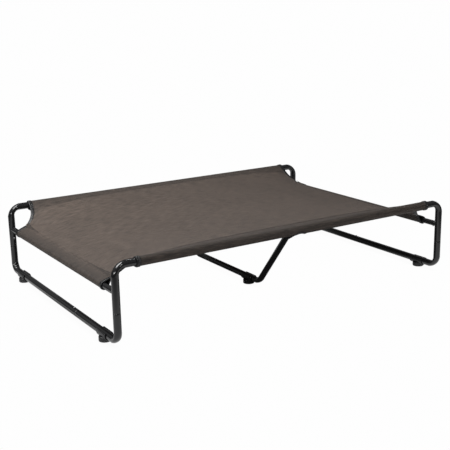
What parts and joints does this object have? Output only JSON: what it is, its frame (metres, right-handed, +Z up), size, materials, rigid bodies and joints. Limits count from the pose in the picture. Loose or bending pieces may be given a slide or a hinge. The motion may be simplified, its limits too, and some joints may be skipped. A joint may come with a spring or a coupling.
{
  "type": "dog bed with frame",
  "caption": "Raised dog bed: knock-down tubular steel frame with high long rails, low end tubes, a slanted middle support, clip-on feet and a stretched mesh sling.",
  "frame": {"origin": "on the floor under the middle of the bed", "axes": "+X along the long rails, -Y to the front, +Z up"},
  "size_m": [1.39, 0.9488, 0.2864],
  "materials": {
    "frame_steel": "gloss",
    "spring_steel": "satin",
    "foot_plastic": "satin",
    "sling_mesh": "matte",
    "binding_tape": "matte"
  },
  "bodies": {
    "frame": {"rail_front_left": "frame_steel", "rail_back_left": "frame_steel", "rail_front_right": "frame_steel", "rail_back_right": "frame_steel", "floor_tube_front_left": "frame_steel", "floor_tube_back_left": "frame_steel", "floor_tube_front_right": "frame_steel", "floor_tube_back_right": "frame_steel", "cross_tube_left": "frame_steel", "cross_tube_right": "frame_steel", "rail_connector_front": "frame_steel", "rail_connector_back": "frame_steel", "middle_support_front": "frame_steel", "middle_support_back": "frame_steel", "foot_left_front": "foot_plastic", "foot_left_back": "foot_plastic", "foot_right_front": "foot_plastic", "foot_right_back": "foot_plastic", "foot_middle": "foot_plastic", "sling": "sling_mesh", "corner_binding_front_left": "binding_tape", "corner_binding_back_left": "binding_tape", "corner_binding_front_right": "binding_tape", "corner_binding_back_right": "binding_tape", "spring_leg_front_left": "spring_steel", "spring_leg_back_left": "spring_steel", "spring_leg_front_right": "spring_steel", "spring_leg_back_right": "spring_steel", "spring_cross_front_left": "spring_steel", "spring_cross_back_left": "spring_steel", "spring_cross_front_right": "spring_steel", "spring_cross_back_right": "spring_steel", "spring_floor_left": "spring_steel", "spring_floor_right": "spring_steel", "spring_floor_middle": "spring_steel", "spring_middle_front": "spring_steel", "spring_middle_back": "spring_steel"},
    "button_leg_front_left": {"button_leg_front_left": "spring_steel"},
    "button_leg_back_left": {"button_leg_back_left": "spring_steel"},
    "button_leg_front_right": {"button_leg_front_right": "spring_steel"},
    "button_leg_back_right": {"button_leg_back_right": "spring_steel"},
    "button_cross_front_left": {"button_cross_front_left": "spring_steel"},
    "button_cross_back_left": {"button_cross_back_left": "spring_steel"},
    "button_cross_front_right": {"button_cross_front_right": "spring_steel"},
    "button_cross_back_right": {"button_cross_back_right": "spring_steel"},
    "button_floor_left": {"button_floor_left": "spring_steel"},
    "button_floor_right": {"button_floor_right": "spring_steel"},
    "button_floor_middle": {"button_floor_middle": "spring_steel"},
    "button_middle_front": {"button_middle_front": "spring_steel"},
    "button_middle_back": {"button_middle_back": "spring_steel"}
  },
  "joints": [
    {"name": "press_leg_front_left", "type": "slide", "parent": "frame", "child": "button_leg_front_left", "axis": [0, -1, 0], "range_m": [0, 0.0045], "stiffness_N_per_m": 2500, "springref_m": -0.002},
    {"name": "press_leg_back_left", "type": "slide", "parent": "frame", "child": "button_leg_back_left", "axis": [0, 1, 0], "range_m": [0, 0.0045], "stiffness_N_per_m": 2500, "springref_m": -0.002},
    {"name": "press_leg_front_right", "type": "slide", "parent": "frame", "child": "button_leg_front_right", "axis": [0, -1, 0], "range_m": [0, 0.0045], "stiffness_N_per_m": 2500, "springref_m": -0.002},
    {"name": "press_leg_back_right", "type": "slide", "parent": "frame", "child": "button_leg_back_right", "axis": [0, 1, 0], "range_m": [0, 0.0045], "stiffness_N_per_m": 2500, "springref_m": -0.002},
    {"name": "press_cross_front_left", "type": "slide", "parent": "frame", "child": "button_cross_front_left", "axis": [0, 0, 1], "range_m": [0, 0.0045], "stiffness_N_per_m": 2500, "springref_m": -0.002},
    {"name": "press_cross_back_left", "type": "slide", "parent": "frame", "child": "button_cross_back_left", "axis": [0, 0, 1], "range_m": [0, 0.0045], "stiffness_N_per_m": 2500, "springref_m": -0.002},
    {"name": "press_cross_front_right", "type": "slide", "parent": "frame", "child": "button_cross_front_right", "axis": [0, 0, 1], "range_m": [0, 0.0045], "stiffness_N_per_m": 2500, "springref_m": -0.002},
    {"name": "press_cross_back_right", "type": "slide", "parent": "frame", "child": "button_cross_back_right", "axis": [0, 0, 1], "range_m": [0, 0.0045], "stiffness_N_per_m": 2500, "springref_m": -0.002},
    {"name": "press_floor_left", "type": "slide", "parent": "frame", "child": "button_floor_left", "axis": [0, 0, -1], "range_m": [0, 0.0045], "stiffness_N_per_m": 2500, "springref_m": -0.002},
    {"name": "press_floor_right", "type": "slide", "parent": "frame", "child": "button_floor_right", "axis": [0, 0, -1], "range_m": [0, 0.0045], "stiffness_N_per_m": 2500, "springref_m": -0.002},
    {"name": "press_floor_middle", "type": "slide", "parent": "frame", "child": "button_floor_middle", "axis": [1, 0, 0], "range_m": [0, 0.0045], "stiffness_N_per_m": 2500, "springref_m": -0.002},
    {"name": "press_middle_front", "type": "slide", "parent": "frame", "child": "button_middle_front", "axis": [1, 0, 0], "range_m": [0, 0.0045], "stiffness_N_per_m": 2500, "springref_m": -0.002},
    {"name": "press_middle_back", "type": "slide", "parent": "frame", "child": "button_middle_back", "axis": [1, 0, 0], "range_m": [0, 0.0045], "stiffness_N_per_m": 2500, "springref_m": -0.002}
  ]
}
